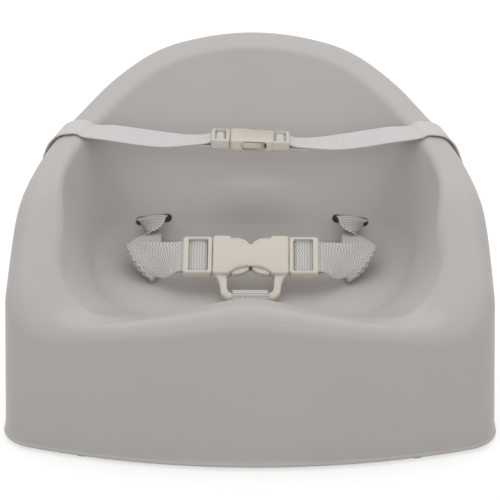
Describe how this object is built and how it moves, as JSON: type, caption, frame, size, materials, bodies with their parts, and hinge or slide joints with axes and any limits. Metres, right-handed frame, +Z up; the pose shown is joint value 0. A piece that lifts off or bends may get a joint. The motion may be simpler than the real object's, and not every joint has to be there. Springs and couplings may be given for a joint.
{
  "type": "chair booster seat",
  "caption": "Moulded child's booster seat with a lap harness on a side-release buckle and a webbing strap that ties it to a chair.",
  "frame": {"origin": "on the chair's surface below the middle of the seat's box", "axes": "+Z up, the child faces -Y, +X to the seat's right as seen from the front"},
  "size_m": [0.3472, 0.3096, 0.214],
  "materials": {
    "shell": "satin moulded polypropylene",
    "buckle": "smooth acetal, soft sheen",
    "webbing": "herringbone woven polyester",
    "foot": "matt soft grip",
    "anchor": "plain moulded bar"
  },
  "bodies": {
    "seat": {"seat_shell": "shell", "foot_front_left": "foot", "foot_front_right": "foot", "foot_rear_left": "foot", "foot_rear_right": "foot", "lap_belt_left": "webbing", "lap_belt_right": "webbing", "lap_anchor_left": "anchor", "lap_anchor_right": "anchor", "chair_strap_left": "webbing", "chair_strap_right": "webbing", "chair_anchor_left": "anchor", "chair_anchor_right": "anchor", "crotch_strap": "webbing", "crotch_anchor": "anchor", "chair_buckle": "buckle"},
    "lap_buckle": {"buckle_housing": "buckle"},
    "lap_latch_left": {"latch_left": "buckle"},
    "lap_latch_right": {"latch_right": "buckle"},
    "arm_left_upper": {"latch_left_arm_upper": "buckle"},
    "arm_left_lower": {"latch_left_arm_lower": "buckle"},
    "arm_right_upper": {"latch_right_arm_upper": "buckle"},
    "arm_right_lower": {"latch_right_arm_lower": "buckle"},
    "chair_latch_body": {"chair_latch": "buckle"},
    "chair_arm_rear": {"chair_latch_arm_rear": "buckle"},
    "chair_arm_front": {"chair_latch_arm_front": "buckle"}
  },
  "joints": [
    {"name": "lap_buckle_tilt", "type": "hinge", "parent": "seat", "child": "lap_buckle", "pos_m": [0, -0.0685, 0.0902], "axis": [1, 0, 0], "range_deg": [0, 35], "deforming": ["lap_belt_left", "lap_belt_right"]},
    {"name": "lap_latch_left_slide", "type": "slide", "parent": "lap_buckle", "child": "lap_latch_left", "axis": [-1, 0, 0], "range_m": [0, 0.024], "deforming": ["lap_belt_left", "latch_left_arm_upper", "latch_left_arm_lower"]},
    {"name": "lap_latch_right_slide", "type": "slide", "parent": "lap_buckle", "child": "lap_latch_right", "axis": [1, 0, 0], "range_m": [0, 0.024], "deforming": ["lap_belt_right", "latch_right_arm_upper", "latch_right_arm_lower"]},
    {"name": "left_upper_arm_press", "type": "hinge", "parent": "lap_latch_left", "child": "arm_left_upper", "pos_m": [-0.027, -0.0319, 0.1139], "axis": [0, 0.5446, -0.8387], "range_deg": [0, 8], "stiffness_Nm_per_rad": 0.02},
    {"name": "left_lower_arm_press", "type": "hinge", "parent": "lap_latch_left", "child": "arm_left_lower", "pos_m": [-0.027, -0.0498, 0.1023], "axis": [0, -0.5446, 0.8387], "range_deg": [0, 8], "stiffness_Nm_per_rad": 0.02},
    {"name": "right_upper_arm_press", "type": "hinge", "parent": "lap_latch_right", "child": "arm_right_upper", "pos_m": [0.027, -0.0319, 0.1139], "axis": [0, -0.5446, 0.8387], "range_deg": [0, 8], "stiffness_Nm_per_rad": 0.02},
    {"name": "right_lower_arm_press", "type": "hinge", "parent": "lap_latch_right", "child": "arm_right_lower", "pos_m": [0.027, -0.0498, 0.1023], "axis": [0, 0.5446, -0.8387], "range_deg": [0, 8], "stiffness_Nm_per_rad": 0.02},
    {"name": "chair_latch_slide", "type": "slide", "parent": "seat", "child": "chair_latch_body", "axis": [-0.9994, 0, 0.0349], "range_m": [0, 0.022], "deforming": ["chair_strap_left", "chair_latch_arm_rear", "chair_latch_arm_front"]},
    {"name": "chair_rear_arm_press", "type": "hinge", "parent": "chair_latch_body", "child": "chair_arm_rear", "pos_m": [-0.0159, 0.054, 0.1635], "axis": [-0.0349, -0.0523, -0.998], "range_deg": [0, 7], "stiffness_Nm_per_rad": 0.02},
    {"name": "chair_front_arm_press", "type": "hinge", "parent": "chair_latch_body", "child": "chair_arm_front", "pos_m": [-0.0159, 0.035, 0.1645], "axis": [0.0349, 0.0523, 0.998], "range_deg": [0, 7], "stiffness_Nm_per_rad": 0.02}
  ]
}
